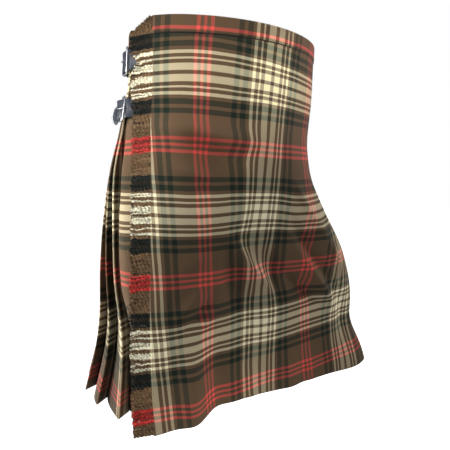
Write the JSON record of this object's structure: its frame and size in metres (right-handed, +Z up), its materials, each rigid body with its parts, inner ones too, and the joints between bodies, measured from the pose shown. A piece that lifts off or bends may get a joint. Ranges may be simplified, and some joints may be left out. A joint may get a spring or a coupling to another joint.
{
  "type": "kilt held up at a wearer's waist, pleated wrap skirt of checked wool",
  "caption": "Worn wrap skirt of checked wool: a flat fringed apron crosses the front, knife pleats hang round the back, and leather straps buckle at the hips.",
  "frame": {"origin": "middle of the waist opening, level with the waistband's top edge, where the wearer's waist holds the kilt up", "axes": "+Z up, the wearer faces -Y, the wearer's left is +X; the cloth hangs down to z = -0.618"},
  "size_m": [0.5743, 0.3769, 0.618],
  "materials": {
    "worsted_check": "matt worsted wool twill, woven check",
    "pleat_check": "matt worsted wool twill, woven check, pressed in knife pleats",
    "frayed_yarn": "loose weft yarns of the same wool",
    "black_leather": "smooth, half gloss",
    "chrome_plate": "bright plate"
  },
  "bodies": {
    "root": {"over_apron": "worsted_check", "under_apron": "worsted_check", "side_panel": "worsted_check", "waistband_front": "worsted_check", "waistband_left": "worsted_check", "waistband_right": "worsted_check", "waistband_under": "worsted_check", "pleats_right": "pleat_check", "pleats_left": "pleat_check", "apron_fringe": "frayed_yarn", "strap_waist": "black_leather", "strap_hip": "black_leather", "strap_left": "black_leather", "buckle_tab_waist": "black_leather", "buckle_tab_hip": "black_leather", "buckle_tab_left": "black_leather", "strap_keeper_waist": "black_leather", "strap_keeper_hip": "black_leather", "strap_keeper_left": "black_leather", "buckle_frame_waist": "chrome_plate", "buckle_frame_hip": "chrome_plate", "buckle_frame_left": "chrome_plate", "buckle_prong_waist": "chrome_plate", "buckle_prong_hip": "chrome_plate", "buckle_prong_left": "chrome_plate"}
  },
  "joints": []
}
